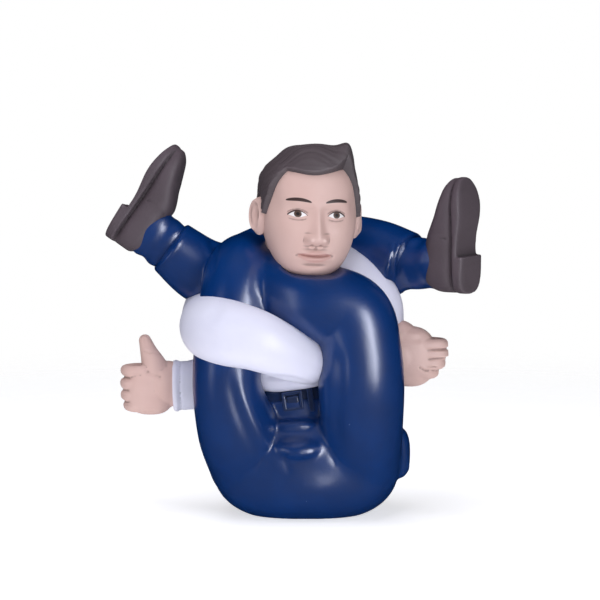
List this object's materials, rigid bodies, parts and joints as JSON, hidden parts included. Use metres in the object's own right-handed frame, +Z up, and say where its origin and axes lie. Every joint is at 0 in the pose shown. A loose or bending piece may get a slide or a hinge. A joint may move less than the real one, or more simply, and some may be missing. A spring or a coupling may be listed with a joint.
{
  "type": "knotted office worker squeeze figure",
  "caption": "Palm-sized foam squeeze figure of a seated office worker whose arms and legs are tied in a knot.",
  "frame": {"origin": "under the middle of the figure's box, on the surface it rests on", "axes": "+Z up, the figure looks along -Y, +X toward the figure's own left side"},
  "size_m": [0.0914, 0.052, 0.0899],
  "materials": {
    "trousers": "soft foam under a semi-gloss navy paint",
    "belt": "soft foam under a semi-gloss navy paint",
    "shirt": "soft foam under a satin white paint",
    "skin": "soft foam under a matte skin-tone paint",
    "hair": "soft foam under a matte brown-grey paint",
    "shoes": "soft foam under a matte brown-grey paint"
  },
  "bodies": {
    "root": {"seat": "trousers", "head": "skin", "hair": "hair", "left_ear": "skin", "right_ear": "skin", "left_thigh": "trousers", "right_fore_sleeve": "shirt", "right_thigh": "trousers", "left_shin": "trousers", "right_shin": "trousers", "left_shoe": "shoes", "right_shoe": "shoes", "left_sole": "shoes", "right_sole": "shoes", "left_heel": "shoes", "right_heel": "shoes", "left_sock": "trousers", "right_sock": "trousers", "left_cuff": "shirt", "left_hand": "skin", "right_hand": "skin", "left_upper_sleeve": "shirt", "right_upper_sleeve": "shirt", "left_fore_sleeve": "shirt", "shirt": "shirt", "belt_buckle": "belt", "belt_loop": "trousers", "belt": "belt", "trouser_front": "trousers", "left_back_pocket": "trousers"}
  },
  "joints": []
}
